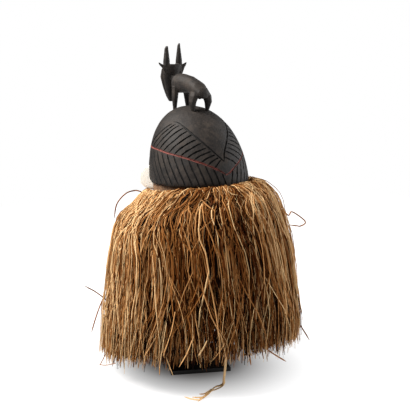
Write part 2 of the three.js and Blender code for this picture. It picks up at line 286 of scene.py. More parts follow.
def groove_black():
    finish = Finish("groove_black", Specular_IOR_Level=0.25)
    dust = finish.step(finish.noise(130, 4), 0.55, 0.8)
    colour = finish.mix(dust * 0.5, (0.0022, 0.0019, 0.0018), (0.014, 0.0105, 0.0085))
    return finish.paint(colour, 0.72 + 0.15 * dust, finish.noise(700, 3), 0.0006, 0.5)


def red_paint():
    finish = Finish("red_paint", Specular_IOR_Level=0.3)
    rubbed = finish.step(finish.noise(95, 5, 0.7), 0.46, 0.64)
    chalky = finish.noise(260, 3)
    fresh = finish.mix(chalky, (0.115, 0.024, 0.018), (0.230, 0.066, 0.052))
    colour = finish.mix(rubbed * 0.8, fresh, (0.022, 0.013, 0.011))
    return finish.paint(colour, 0.7 + 0.2 * rubbed, chalky, 0.0006, 0.5)


def white_clay(name, thick, thinner):
    finish = Finish(name, Specular_IOR_Level=0.2)
    thin = finish.step(finish.noise(55, 6, 0.7), 0.56, 0.74)
    stain = finish.noise(16, 3)
    clay = finish.mix(stain, thick, thinner)
    colour = finish.mix(thin * 0.5, clay, (0.20, 0.155, 0.11))
    height = finish.noise(300, 4) - 0.6 * thin
    return finish.paint(colour, 0.85 + 0.1 * stain, height, 0.0007, 0.7)


def bare_wood():
    finish = Finish("bare_wood", Specular_IOR_Level=0.3)
    fibres, pores = grain_of(finish)
    fresh = finish.mix(finish.step(fibres, 0.3, 0.72), (0.115, 0.058, 0.030), (0.275, 0.165, 0.095))
    aged = finish.step(finish.noise(24, 4), 0.45, 0.7)
    colour = finish.mix(aged * 0.6, fresh, (0.060, 0.036, 0.022))
    return finish.paint(colour, 0.62 + 0.2 * pores, fibres + 0.4 * pores, 0.0008, 0.6)


# The same white clay in two copies: the face's is painted darker, as painted shade, and the ears' near white,
# as painted light
shaded_face_clay = white_clay("white_clay", (0.47, 0.455, 0.41), (0.34, 0.32, 0.27))
lit_ear_clay = white_clay("lit_clay_copy", (0.92, 0.90, 0.85), (0.80, 0.77, 0.69))
WOOD_FINISHES = [dark_wood(), groove_black(), red_paint(), shaded_face_clay, bare_wood(), lit_ear_clay]
DARK, BLACK, RED, WHITE, BARE, LIT_CLAY = range(6)
print("wood finishes:", [finish.name for finish in WOOD_FINISHES])

# %% [markdown]
# ## Finishes of the fringe and the stand
#
# Each point of a raffia fibre carries its tone, from 0, dark brown, to 1, pale straw, and a colour
# ramp turns the tone into a colour, so that one material serves thousands of fibres. Fine streaks
# along Z break it up. The laid cord is the same fibre, a little duller. The stand is satin black
# paint with some dust, and its rest is black felt.

# %% Fibre, paint and felt
def raffia_finish(name, dull=0.0):
    finish = Finish(name, Specular_IOR_Level=0.03)
    tone = finish.node("ShaderNodeAttribute", {"attribute_name": "tone"}, output="Fac")
    streak = finish.noise(1, 3, stretch=(420, 420, 22))
    patch = finish.noise(1, 2, stretch=(16, 16, 7))
    shade = tone + 0.46 * (streak - 0.5) + 0.26 * (patch - 0.5) - dull
    stops = [
        (0.0, (0.0045, 0.001, 0.0002)),
        (0.3, (0.082, 0.0205, 0.0028)),
        (0.6, (0.250, 0.098, 0.025)),
        (0.82, (0.460, 0.238, 0.092)),
        (1.0, (0.650, 0.440, 0.225)),
    ]
    colour = finish.node("ShaderNodeValToRGB", {"stops": stops}, {"Fac": shade})
    return finish.paint(colour, 0.42 + 0.3 * streak, streak, 0.0004, 0.5)


def black_paint():
    finish = Finish("satin_black", Specular_IOR_Level=0.5)
    dust = finish.step(finish.noise(60, 5, 0.7), 0.52, 0.75)
    colour = finish.mix(dust * 0.25, (0.0065, 0.0065, 0.007), (0.050, 0.046, 0.042))
    return finish.paint(colour, 0.34 + 0.25 * dust, finish.noise(900, 2), 0.0003, 0.3)


def felt():
    finish = Finish("black_felt", Specular_IOR_Level=0.1)
    fuzz = finish.noise(1400, 4, 0.7)
    colour = finish.mix(fuzz, (0.012, 0.012, 0.013), (0.045, 0.044, 0.046))
    return finish.paint(colour, 0.9 + 0.1 * fuzz, fuzz, 0.0008, 0.8)


raffia_material = raffia_finish("raffia_fibre")
twine_material = raffia_finish("laid_twine", 0.15)
print("fibre finishes:", raffia_material.name, twine_material.name)

# %% [markdown]
# ## The cap's shape
#
# The cap is a dome that leans forward as it rises. It was cut by eye with an adze, so a radius and
# a lean at each height give its shape, and a little smooth noise gives the cutter's hand. Everything
# on the cap is placed by a turn from the middle of the back and a height.

# %% Places on the cap
RIM_Z = 500
CROWN_Z = 696
RIM_RADIUS = 130
CROWN_FORWARD = 40
CAP_PROUD = 9


def cap_rise(z):
    return np.clip((np.asarray(z, float) - RIM_Z) / (CROWN_Z - RIM_Z), 0, 1)


def dome(rise):
    """A dome's width, from 1 at its foot to 0 at its top, a little fuller than a ball's"""
    return np.maximum(1 - rise**2.2, 0) ** (1 / 2.1)


def cap_radius(z):
    return RIM_RADIUS * dome(cap_rise(z))


def cap_forward(z):
    return CROWN_FORWARD * cap_rise(z) ** 1.2


def on_cap(turn, z):
    """Points on the cap in millimetres, from turns in degrees and heights"""
    radius, angle = cap_radius(z), np.radians(turn)
    return np.stack([radius * np.sin(angle), radius * np.cos(angle) - cap_forward(z), z], -1)


def hand_cut(points, centre, amounts=((0.045, 0.7), (0.13, 0.25))):
    """Moves points in or out from a centre line by smooth noise, as (size, depth) pairs"""
    away = points - centre
    away /= np.linalg.norm(away, axis=1)[:, None] + 0.01
    shift = np.zeros(len(points))
    for size, depth in amounts:
        shift += depth * np.array([noise.noise(Vector(p * size)) for p in points])
    return points + away * shift[:, None]


print("cap radius at mid height:", round(float(cap_radius(598)), 1), "mm")

# %% [markdown]
# ## Turned blanks
#
# The dome, the head below it and the hollow inside are round, so each starts as half an outline
# that is spun about the Z axis. That leaves a seam and doubled points at the poles, which are
# merged before the faces are turned outwards.

# %% Spinning an outline
def spun(name, outline, steps, finish):
    """A solid from an outline of (radius, height) points that starts and ends on the axis"""
    mesh = bpy.data.meshes.new(name)
    corners = [(radius * MM, 0, z * MM) for radius, z in outline]
    mesh.from_pydata(corners, [(i, i + 1) for i in range(len(corners) - 1)], [])
    piece = added(name, mesh)
    with editing(piece):
        bpy.ops.mesh.spin(steps=steps, angle=2 * math.pi, center=(0, 0, 0), axis=(0, 0, 1))
    return with_finish(outward(piece), finish)


def with_finish(piece, finish):
    """Gives every wooden part the same row of finishes, so that joined parts keep theirs"""
    piece.data.materials.clear()
    for material in WOOD_FINISHES:
        piece.data.materials.append(material)
    piece.data.polygons.foreach_set("material_index", [finish] * len(piece.data.polygons))
    return piece


def cut_or_join(piece, other, operation):
    """Joins another solid to a piece, or cuts it away"""
    applied(piece, "BOOLEAN", object=other, operation=operation, solver="MANIFOLD")
    bpy.data.objects.remove(other)


RIM_CURVE = ((0, 0), (120, 0), (124, 1), (127, 3.5), (129, 7.5), (129.7, 12))
DOME_FOOT_Z = RIM_Z + 16

heights = DOME_FOOT_Z + (CROWN_Z - DOME_FOOT_Z) * np.sin(np.linspace(0, math.pi / 2, 82))
cap_outline = [(radius, RIM_Z + up) for radius, up in RIM_CURVE]
cap_outline += [(float(cap_radius(z)), float(z)) for z in heights]
cap = spun("cap", cap_outline, 220, DARK)
points = points_of(cap)
lean = cap_forward(points[:, 2])
points[:, 1] -= lean
spine = np.stack([0 * lean, -lean, 0.6 * points[:, 2] + 200], 1)
move_points(cap, hand_cut(points, spine))
print("cap:", len(cap.data.polygons), "faces")

# %% [markdown]
# ## The hair line
#
# In front, the cap's edge rises in an arch over the face. Its points could be moved one by one, but
# a cut is cleaner: a flat arch is drawn as a mesh, pulled through the front of the cap with one
# extrude, and taken away.

# %% Cutting the arch
ARCH_HALF_WIDTH = 101
ARCH_FOOT = 106
ARCH_TOP = 601
ARCH_SPRING = 520
AHEAD_Y = -220
ARCH_BACK_Y = -25


def arch_outline():
    angles = np.linspace(0, math.pi, 40)
    xs = ARCH_HALF_WIDTH * np.sign(np.cos(angles)) * np.abs(np.cos(angles)) ** 0.8
    zs = ARCH_SPRING + (ARCH_TOP - ARCH_SPRING) * np.sin(angles) ** 0.9
    return [(ARCH_FOOT, RIM_Z - 20), *zip(xs, zs), (-ARCH_FOOT, RIM_Z - 20)]


def pulled_through(name, outline, start_y, end_y, finish):
    """A solid from an outline in the XZ plane, pulled from one Y to another"""
    mesh = bpy.data.meshes.new(name)
    corners = [(x * MM, start_y * MM, z * MM) for x, z in outline]
    mesh.from_pydata(corners, [], [list(range(len(corners)))])
    piece = added(name, mesh)
    with editing(piece):
        bpy.ops.mesh.extrude_region_move(TRANSFORM_OT_translate={"value": (0, (end_y - start_y) * MM, 0)})
    return with_finish(outward(piece), finish)


cut_or_join(cap, pulled_through("arch", arch_outline(), AHEAD_Y, ARCH_BACK_Y, DARK), "DIFFERENCE")
print("cap with its arch:", len(cap.data.polygons), "faces")

# %% [markdown]
# ## The carved lines
#
# A gouge leaves a groove with a round bottom. A bump map could draw it, but only a real cut throws
# its shadow from every side. So each groove is a curve on the cap's surface with a round bevel,
# thicker and thinner as the hand pressed, and is cut out as a tube. Tubes that cross are cut one
# set after another: first the fans, then the V round the plain lobe, then the painted line.

# %% Gouge paths
LOBE_TURN = 3
LOBE_TIP_Z = 564
FAN_LINES = 13
RIM_LINES = 12
carver = np.random.default_rng(11)


def lobe_z(turn):
    """The V that bounds the plain lobe: how high it runs at each turn"""
    away = np.abs(turn - LOBE_TURN)
    left = 96 * np.sin(np.radians(np.minimum(1.3 * away, 90)))
    right = 97 * np.minimum(away / 50, 1) ** 0.58
    return LOBE_TIP_Z + np.where(turn > LOBE_TURN, left, right)


def paint_z(turn):
    """The painted line, lowest at the middle of the back"""
    return 531 + 68 * (1 - np.exp(-np.abs(turn - 2) / 44))


def fan_turns(side, k):
    """Where the fan's line k starts under the V, and where it meets the painted line"""
    if side > 0:
        return 6.5 + 3.2 * k + 0.2 * k * k, 16 + 7.4 * k + 0.07 * k * k
    return 1 - 3.7 * k - 0.15 * k * k, -15 - 9.2 * k


def wandering(spots, knots, low=0, high=1):
    """A slight wander of the carver's hand, given at each spot between low and high"""
    return np.interp(spots, np.linspace(low, high, knots), carver.normal(0, 1, knots))


def gouge_path(turns, heights, bow=0.0):
    """Points of one cut between two turns and two heights, with a bow"""
    share = np.linspace(0, 1, 12)
    z = np.interp(share, (0, 1), heights) + bow * 4 * share * (1 - share)
    z = z + 0.5 * wandering(share, 5)
    turn = np.interp(share, (0, 1), turns) + 0.2 * wandering(share, 5)
    return on_cap(turn, z)


def fan_paths():
    """Bowed cuts that fan out above the painted line, and straight ones from it to the rim"""
    paths = []
    for side in (1, -1):
        for k in range(FAN_LINES):
            top, low = fan_turns(side, k)
            start = float(lobe_z(top)) - carver.uniform(3, 6)
            end = float(paint_z(low)) + 2
            paths.append(gouge_path([top, low], [start, end], 0.12 * (start - end)))
        for k in range(RIM_LINES):
            top = 1 + side * (8 + 9.2 * k)
            low = 1 + side * (2.5 + 7.8 * k)
            paths.append(gouge_path([top, low], [float(paint_z(top)) - 3, RIM_Z + 0.5]))
    return paths


def along(curve_z, reach):
    """One long cut over the back"""
    turns = np.concatenate([np.linspace(-reach, LOBE_TURN, 26), np.linspace(LOBE_TURN, reach, 26)[1:]])
    return on_cap(turns, curve_z(turns) + 0.5 * wandering(turns, 15, -reach, reach))


print("cuts on each side:", FAN_LINES, "in the fan,", RIM_LINES, "at the rim")


# %% Cutting with tubes
def tubes(name, paths, radius, widths, closed=False):
    """Round tubes along paths, made a mesh. The widths multiply the radius at each point."""
    curve = bpy.data.curves.new(name, "CURVE")
    curve.dimensions = "3D"
    curve.bevel_depth = radius * MM
    curve.bevel_resolution = 1
    curve.use_fill_caps = not closed
    for path, width in zip(paths, widths):
        spline = curve.splines.new("POLY")
        spline.points.add(len(path) - 1)
        spline.use_cyclic_u = closed
        spline.points.foreach_set("co", np.insert(path * MM, 3, 1, axis=1).ravel())
        spline.points.foreach_set("radius", width)
    added(name, curve)
    bpy.ops.object.convert(target="MESH")
    return outward(bpy.context.object)


def pressed(path, ends, taper):
    """The hand's pressure along a cut, lighter towards both ends"""
    press = 1 + 0.12 * carver.normal(0, 1, len(path))
    press *= np.interp(np.linspace(0, 1, len(path)), [0, taper, 1 - taper, 1], [ends, 1, 1, ends])
    return np.clip(press, 0.3, 1.35)


def gouge(name, paths, radius, finish, ends=0.45, taper=0.1):
    cutter = tubes(name, paths, radius, [pressed(path, ends, taper) for path in paths])
    cut_or_join(cap, with_finish(cutter, finish), "DIFFERENCE")


gouge("fan_cuts", fan_paths(), 2.5, BLACK)
gouge("lobe_cut", [along(lobe_z, 72)], 2.7, BLACK, 0.4, 0.15)
gouge("paint_cut", [along(paint_z, 126)], 2.4, RED, 0.9)
print("cap with its carving:", len(cap.data.polygons), "faces")

# %% [markdown]
# ## Head and neck
#
# Under the cap the head is a plain round core, 9 mm further in. Below the rim it is bare brown
# wood, and the fringe's cord sits in a groove that slopes down from the back to the chin. A spin can
# only make it level, so the slope is given to its points afterwards.

# %% The core under the cap
RING_Z = 458
RING_SLOPE = 0.18
CORD_RING_RADIUS = 123
NECK_BELOW_RING = 28
CORE_TOP = 612
GROOVE = ((123, -9), (121.8, -5), (119.6, -3), (118.8, 0), (119.6, 3), (121.8, 5))

core_outline = [(0, -NECK_BELOW_RING), (123, -NECK_BELOW_RING), (123.5, -NECK_BELOW_RING + 1), *GROOVE]
core_outline = [(radius, RING_Z + z) for radius, z in core_outline]
core_outline += [(121, z) for z in np.linspace(RIM_Z - 20, RIM_Z + 2, 8)]
core_outline += [(float(cap_radius(z)) - CAP_PROUD, float(z)) for z in np.linspace(RIM_Z + 6, CORE_TOP, 28)]
core_outline += [(0, CORE_TOP)]
core = spun("core", core_outline, 160, BARE)
points = points_of(core)
tilt = np.clip((RIM_Z - 8 - points[:, 2]) / (RIM_Z - 8 - RING_Z - 5), 0, 1)
points[:, 2] += RING_SLOPE * points[:, 1] * tilt
points[:, 1] -= cap_forward(points[:, 2])
move_points(core, points)
head = cap
cut_or_join(head, core, "UNION")
print("head:", len(head.data.polygons), "faces")

# %% [markdown]
# ## The face
#
# The photograph shows none of the face, so it is a calm one of this lesson's own, on the
# proportions of a drawing book: the eyes halfway up the head, the nose and mouth dividing the rest.
# It could be sculpted with brushes, but a sum of soft bumps can be measured and changed. A grid is
# fitted into an oval and pushed out by them, and its edge is pulled back to make it a solid.

# %% Face relief
FACE_TOP = 612
FACE_CHIN = 446.5
FACE_MIDDLE = 528
FACE_HALF_WIDTH = 82
FACE_BACK = 80
FACE_EDGE = 92
EYE_X = 30
EYE_Z = 530
LIPS_Z = 477.3


def bump(distance, width):
    return np.exp(-((distance / width) ** 2))


def ramp(value, low, high):
    share = np.clip((value - low) / (high - low), 0, 1)
    return share * share * (3 - 2 * share)


def eyes(side, z):
    """Sunk sockets, with an eyeball and two lid rims in each"""
    across = side - EYE_X
    lid_edge = 8.5 * np.sqrt(np.clip(1 - (across / 19) ** 2, 0, 1))
    eyeball = 8.5 * bump(across, 15) * bump(z - EYE_Z, 9)
    lid_rim = 1.3 * (bump(z - EYE_Z - lid_edge * 0.62, 1.6) + bump(z - EYE_Z + lid_edge * 0.5, 1.6))
    socket = 12 * bump(across, 19) * bump(z - EYE_Z - 1, 12)
    return eyeball + lid_rim * (1 - ramp(np.abs(across), 16, 20)) - socket


def nose(side, z):
    """The bridge and tip, a wing at each side, and the nostrils under them"""
    ridge = (5 + 15 * (1 - ramp(z, 502, 550))) * ramp(z, 494, 500) * (1 - ramp(z, 528, 556))
    wings = 6 * bump(side - 12, 5.5) * bump(z - 502.5, 5.5)
    nostrils = 3 * bump(side - 6.5, 2.6) * bump(z - 496.5, 2.4)
    return ridge * bump(side, 7.5 + 7 * (1 - ramp(z, 500, 540))) + wings - nostrils


def mouth(side, z):
    """Two lips, the line between them, and the dip between nose and mouth"""
    up = z - LIPS_Z - 0.9 * np.cos(side / 4.5) - 0.003 * side**2
    lips = 7 * bump(up - 4.2, 4.2) + 7.5 * bump(up + 5.2, 5)
    line = 2.2 * bump(up, 1.5) * (1 - ramp(side, 19, 24))
    return lips * (1 - ramp(side, 13, 25)) - line - 1.6 * bump(side, 2.6) * bump(z - 489, 4)


def face_depth(x, z):
    """How far each spot of the face stands out from the head's axis"""
    side = np.abs(x)
    profile = 136 - 9 * ramp(z, 550, 600) + 3 * bump(z - 545, 14)
    depth = FACE_EDGE + (profile - FACE_EDGE) * np.sqrt(1 - (side / 90) ** 2)
    up = z - 545 + 0.0045 * np.maximum(side - EYE_X, 0) ** 2
    brows = 4 * bump(up, 5) * (1 - ramp(side, 46, 66)) * (1 - 0.7 * bump(side, 11))
    cheeks = 4 * bump(side - 44, 17) * bump(z - 506, 18)
    chin = 6 * bump(side, 22) * bump(z - 455, 8)
    depth += brows + eyes(side, z) + nose(side, z) + cheeks + mouth(side, z) + chin
    near_hair = np.hypot(x / ARCH_HALF_WIDTH, np.maximum(z - ARCH_SPRING, 0) / (ARCH_TOP - ARCH_SPRING))
    cap_front = np.sqrt(np.maximum(cap_radius(z) ** 2 - x**2, 0)) + cap_forward(z)
    excess = depth - cap_front + 4 - 40 * (1 - ramp(near_hair, 0.7, 0.93))
    return depth - 0.5 * (excess + np.sqrt(excess**2 + 4))


middle_line = np.array([FACE_CHIN + 4, LIPS_Z, 500, EYE_Z, 570])
print("face depth up its middle line:", face_depth(0 * middle_line, middle_line).round(1))


# %% Building the face
def face_solid():
    bpy.ops.mesh.primitive_grid_add(x_subdivisions=140, y_subdivisions=148, size=2)
    plate = settled(bpy.context.object, "face")
    grid = points_of(plate) * MM
    z = FACE_CHIN + (FACE_TOP - FACE_CHIN) * (grid[:, 1] + 1) / 2
    reach = np.where(z > FACE_MIDDLE, 100, 84)
    half = FACE_HALF_WIDTH * (1 - np.abs((z - FACE_MIDDLE) / reach) ** 2.6) ** (1 / 2.2)
    x = half * grid[:, 0]
    move_points(plate, np.stack([x, -face_depth(x, z), z], 1))
    with editing(plate):
        bpy.ops.mesh.region_to_loop()
        bpy.ops.mesh.extrude_edges_move(TRANSFORM_OT_translate={"value": (0, 0.05, 0)})
    points = points_of(plate)
    pulled = np.array([vertex.select for vertex in plate.data.vertices])
    points[pulled, 1] = -FACE_BACK
    move_points(plate, points)
    bpy.ops.object.mode_set(mode="EDIT")
    bpy.ops.mesh.edge_face_add()
    bpy.ops.object.mode_set(mode="OBJECT")
    return with_finish(outward(plate), WHITE)


cut_or_join(head, face_solid(), "UNION")
print("head with its face:", len(head.data.polygons), "faces")

# %% [markdown]
# ## The ears
#
# The photograph shows one pale ear at the far left, a thick C beside the face. Its outline is a
# plain oval, so each ear starts as an oval drum with bevelled edges. Its front is inset and pushed
# in for the hollow of the C, and the whole is turned to stand out from the head.

# %% C-shaped ears
EAR_TURN = 58
EAR_FACING = 42
EAR_Z = 513
EAR_REACH = 36
EAR_HALF_HEIGHT = 32
EAR_THICK = 15
EAR_AWAY = 124
EAR_AHEAD = 3.5
HOLLOW_STEPS = ((3, 0), (2.5, -4), (2.5, -3.5))


def ear(side):
    bpy.ops.mesh.primitive_cylinder_add(vertices=48, radius=1, depth=1)
    drum = bpy.context.object
    drum.scale = (EAR_REACH * MM, EAR_HALF_HEIGHT * MM, EAR_THICK * MM)
    settled(drum, "ear")
    applied(drum, "BEVEL", width=5.5 * MM, segments=4, angle_limit=math.radians(35))
    with editing(drum):
        bpy.ops.mesh.select_all(action="DESELECT")
    for flat in drum.data.polygons:
        flat.select = flat.normal.z > 0.99
    bpy.ops.object.mode_set(mode="EDIT")
    for width, depth in HOLLOW_STEPS:
        bpy.ops.mesh.inset(thickness=width * MM, depth=depth * MM)
    bpy.ops.object.mode_set(mode="OBJECT")
    applied(drum, "SUBSURF", levels=1, render_levels=1)
    turn, facing = math.radians(EAR_TURN), math.radians(EAR_FACING)
    out = Vector((side * math.sin(facing), -math.cos(facing), 0))
    ahead = Vector((-side * math.cos(facing), -math.sin(facing), 0))
    middle = Vector((EAR_AWAY * side * math.sin(turn), -EAR_AWAY * math.cos(turn), EAR_Z)) + ahead * EAR_AHEAD
    local = points_of(drum)
    placed = np.outer(local[:, 0], out) + np.outer(local[:, 1], (0, 0, 1)) + np.outer(local[:, 2], ahead)
    move_points(drum, placed + np.array(middle))
    # The ears take the near-white copy of the clay, which is painted light
    return with_finish(outward(drum), LIT_CLAY)


for side in (1, -1):
    cut_or_join(head, ear(side), "UNION")
print("head with its ears:", len(head.data.polygons), "faces")

# %% [markdown]
# ## The antelope
#
# The antelope is carved from the same block and faces as the mask does. Each limb is drawn out from
# a disc, which is extruded from station to station and resized at each one. Joined limbs would show
# seams, so they are remeshed into one skin, smoothed a little, and lightly hand cut.

# %% Drawing out a limb
def drawn_out(name, sides, lying, stations):
    """Extrudes a disc through stations of (x, y, z, half width, half depth). Lying ones run along Y."""
    turn = (math.pi / 2, 0, 0) if lying else (0, 0, 0)
    bpy.ops.mesh.primitive_circle_add(vertices=sides, radius=MM, fill_type="NGON", rotation=turn)
    limb = settled(bpy.context.object, name)
    place, size = Vector((0, 0, 0)), (1.0, 1.0)
    with editing(limb):
        for index, (x, y, z, across, deep) in enumerate(stations):
            target = Vector((x, y, z)) * MM
            if index:
                bpy.ops.mesh.extrude_region_move(TRANSFORM_OT_translate={"value": target - place})
            else:
                bpy.ops.transform.translate(value=target)
            wide, long = across / size[0], deep / size[1]
            stretch = (wide, 1, long) if lying else (wide, long, 1)
            bpy.ops.transform.resize(value=stretch, center_override=target)
            place, size = target, (across, deep)
    return outward(limb)


print("a limb's first disc:", 2 * MM, "m wide")


# %% Stations of the limbs
HEAD_X = 3
HEAD_Y = -114
MIDDLE_LIMBS = [
    ("body", 28, True, [
        (0, 27, 726, 6, 6), (0, 25, 727, 11, 9), (0, 20, 729, 17, 13), (0, 2, 738, 23, 20),
        (0, -17, 745, 22.5, 21), (0, -35, 750.5, 22, 22), (0, -68, 753, 24, 25),
        (0, -88, 752.5, 25.5, 25.5), (0, -91.5, 752.5, 24.5, 24.5),
    ]),
    ("neck", 20, True, [(0, -80, 748, 15, 15), (1.5, -98, 760, 14, 13), (3, -112, 774, 15, 12)]),
    ("skull", 24, False, [
        (HEAD_X, -125, 703, 4, 4.5), (HEAD_X, -125.5, 706, 6, 6.5), (HEAD_X, -127, 716, 10.5, 10.5),
        (HEAD_X, -128, 742, 20, 17), (HEAD_X, -127, 768, 27.5, 22), (HEAD_X, -121, 788, 28, 22),
        (HEAD_X, HEAD_Y, 800, 25.5, 16), (HEAD_X, HEAD_Y, 801.8, 24, 14.5),
    ]),
    ("groin", 12, True, [(0, 10, 724, 3, 3), (0, 4, 719, 6.5, 5), (0, -8, 722, 6, 5)]),
]


def side_limbs(side):
    """Legs, horn and ear of one side. The two sides differ a little, as the real ones do."""
    stride = -8 if side > 0 else 0
    horn_x = HEAD_X + side * 20
    horn_tip, tip_radius = (849.5, 5.2) if side > 0 else (857, 4)
    ear_out, ear_y = (4, -113) if side > 0 else (0, -109)
    return [
        ("front_leg", 8, False, [
            (side * 21, -79.5, 676, 5.4, 5.6), (side * 21, -79.5, 688, 5.2, 5.4),
            (side * 20, -80.5, 715, 8.4, 8.8), (side * 17, -82, 745, 10, 10.5),
        ]),
        ("hind_leg", 8, False, [
            (side * 21, 5 + 0.4 * stride, 670, 4.6, 5), (side * 21.2, 6 + 0.5 * stride, 686, 4.8, 5.4),
            (side * 22, 9.5 + stride, 708, 9.4, 11.4), (side * 17, 9 + stride, 724, 12, 14.5),
            (side * 9, 4 + stride, 744, 9.5, 13.5),
        ]),
        ("horn", 8, False, [
            (horn_x, HEAD_Y, 778, 9.8, 9.8), (horn_x, HEAD_Y, 812, 8.9, 8.9),
            (horn_x, HEAD_Y, horn_tip - 6, tip_radius, tip_radius),
            (horn_x - 1.5, HEAD_Y, horn_tip, 0.55 * tip_radius, 0.7 * tip_radius),
        ]),
        ("ear_tip", 12, False, [
            (HEAD_X + side * 23, -110, 776, 4.5, 5),
            (HEAD_X + side * (29 + 0.3 * ear_out), -110, 793, 6.6, 4.4),
            (HEAD_X + side * (33 + 0.6 * ear_out), ear_y, 800, 7.4, 3.6),
            (HEAD_X + side * (37 + ear_out), ear_y, 803.5, 4.8, 2.4),
            (HEAD_X + side * (41 + ear_out), ear_y, 807, 1.4, 1),
        ]),
    ]


limbs = [drawn_out(*limb) for limb in MIDDLE_LIMBS + side_limbs(1) + side_limbs(-1)]
print("limbs:", [limb.data.name for limb in limbs])


# %% One skin for the antelope
def one_skin(name, parts, voxel, smoothing):
    """Joins overlapping solids and remeshes them into one smooth one"""
    pick(*parts)
    bpy.ops.object.join()
    skin = bpy.context.object
    skin.name = name
    applied(skin, "REMESH", mode="VOXEL", voxel_size=voxel * MM)
    applied(skin, "SMOOTH", factor=0.5, iterations=smoothing)
    return skin


def face_grooves(piece):
    """Sinks a long groove down each side of the antelope's face"""
    points = points_of(piece)
    x, y, z = points.T
    side = np.abs(x - HEAD_X)
    down_face = ramp(z, 708, 722) * (1 - ramp(z, 776, 792))
    middle = -126 + 0.10 * (z - 742)
    reach = bump(y - middle, 3.2) * down_face * ramp(side, 4, 8)
    points[:, 0] -= np.sign(x - HEAD_X) * 3.2 * reach
    return move_points(piece, points)


antelope = face_grooves(one_skin("antelope", limbs, 1.4, 2))
body_line = points_of(antelope)
body_line[:, 0] *= 0.4
body_line[:, 2] = 745
move_points(antelope, hand_cut(points_of(antelope), body_line, ((0.09, 0.55), (0.25, 0.2))))
print("antelope:", len(antelope.data.polygons), "faces")
cut_or_join(head, with_finish(antelope, DARK), "UNION")

# %% [markdown]
# ## The hollow
#
# A helmet mask is worn over the head, so the block is hollowed from below to a wall of about 13 mm,
# and the eyes are slits that go right through. The cutters are spun and pulled like the blanks, and
# their faces bring the bare wood with them.

# %% Hollowing
CAVITY_RADIUS = 108
CEILING_Z = 678
CEILING_FORWARD = 36
BELOW_NECK_Z = 380
SLIT_HALF_WIDTH = 17
SLIT_HALF_HEIGHT = 2.5


def hollow():
    share = np.sin(np.linspace(0, math.pi / 2, 30))
    outline = [(0, BELOW_NECK_Z), (CAVITY_RADIUS + 1, BELOW_NECK_Z), (CAVITY_RADIUS, 440)]
    outline += zip(CAVITY_RADIUS * dome(share), RIM_Z + (CEILING_Z - RIM_Z) * share)
    piece = spun("hollow", outline, 96, BARE)
    points = points_of(piece)
    rise = np.clip((points[:, 2] - RIM_Z) / (CEILING_Z - RIM_Z), 0, 1)
    points[:, 1] -= CEILING_FORWARD * rise**1.2
    spine = np.stack([0 * rise, -CEILING_FORWARD * rise, points[:, 2] * 0.5 + 260], 1)
    return move_points(piece, hand_cut(points, spine, ((0.035, 1.0), (0.1, 0.4))))


def eye_slit(side):
    x = np.linspace(-SLIT_HALF_WIDTH, SLIT_HALF_WIDTH, 21)
    lift = SLIT_HALF_HEIGHT * (1 - (x / SLIT_HALF_WIDTH) ** 2)
    almond = [*zip(x, lift), *zip(x[-2:0:-1], -lift[-2:0:-1])]
    outline = [(side * EYE_X + u, EYE_Z + v) for u, v in almond]
    return pulled_through("eye_slit", outline, -190, -85, BARE)


cut_or_join(head, hollow(), "DIFFERENCE")
for side in (1, -1):
    cut_or_join(head, eye_slit(side), "DIFFERENCE")
wooden_mask = settled(head, "carved_mask")
pick(wooden_mask)
bpy.ops.object.shade_smooth_by_angle(angle=math.radians(38))
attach(wooden_mask, "root")
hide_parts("wooden_mask")
print("carved mask:", len(wooden_mask.data.polygons), "faces")

# %% [markdown]
# ## The cord
#
# The cord is laid from two plies. A twisted mesh would need many loops, so each ply is a closed
# curve that winds round the ring's line, with a round bevel, and both are made a mesh.

# %% Two plies
CORD_TURNS = 52
CORD_STEPS = 9 * CORD_TURNS
PLY_RADIUS = 2.2
PLY_WIND = 1.9


def ply(phase):
    """The line of one ply, wound round the line of the ring"""
    angle = np.linspace(0, 2 * math.pi, CORD_STEPS, endpoint=False)
    wind = CORD_TURNS * angle + phase
    radius = CORD_RING_RADIUS + PLY_WIND * np.cos(wind)
    x, y = radius * np.sin(angle), radius * np.cos(angle)
    return np.stack([x, y, RING_Z + RING_SLOPE * y + PLY_WIND * np.sin(wind)], 1)


def set_tone(piece, values):
    """Stores each point's tone, from 0, dark, to 1, pale"""
    tone = piece.data.attributes.new("tone", "FLOAT", "POINT")
    tone.data.foreach_set("value", np.asarray(values, np.float32))


cord = tubes("neck_cord", [ply(0), ply(math.pi)], PLY_RADIUS, np.ones((2, CORD_STEPS)), closed=True)
set_tone(cord, np.full(len(cord.data.vertices), 0.42))
cord.data.materials.append(twine_material)
pick(cord)
bpy.ops.object.shade_smooth()
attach(cord, "root")
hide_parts("fringe_cord")
print("cord:", len(cord.data.polygons), "faces")

# %% [markdown]
# ## The raffia fringe
#
# The fringe is thousands of flat, stiff fibres. Each is knotted on the cord, springs up and out,
# bends over and hangs to an uneven hem. Simulating so many would be slow, so every fibre follows a
# path between an outer and an inner profile. What makes it look real is how fibres gather in hanks
# with dark gaps, drift and cross, and differ in width and tone.

# %% Profiles of the fringe
# Radius, height, slope along Y, slope along X, and how far the front dips under the chin
OUTER_PROFILE = np.array([
    (125, 474, 0.17, 0, 20), (134, 492, 0.11, 0, 38), (150, 490, 0.11, -0.06, 38),
    (168, 477, 0.10, -0.11, 30), (184, 463, 0.09, -0.10, 22), (199, 444, 0.08, -0.08, 12),
    (214, 410, 0.06, -0.05, 4), (227, 366, 0.03, -0.02, 0), (239, 290, 0, 0, 0), (244, 205, 0, 0, 0),
    (249, 120, 0, 0, 0), (251, 10, 0, 0, 0),
])
INNER_PROFILE = np.array([
    (124, 458, 0.18, 0, 10), (129, 463, 0.17, 0, 14), (140, 461, 0.14, -0.02, 16),
    (152, 452, 0.14, -0.03, 12), (165, 440, 0.12, -0.04, 10), (179, 422, 0.10, -0.03, 6),
    (192, 396, 0.06, -0.02, 0), (204, 350, 0.03, 0, 0), (214, 282, 0, 0, 0), (222, 205, 0, 0, 0),
    (228, 118, 0, 0, 0), (232, 10, 0, 0, 0),
])
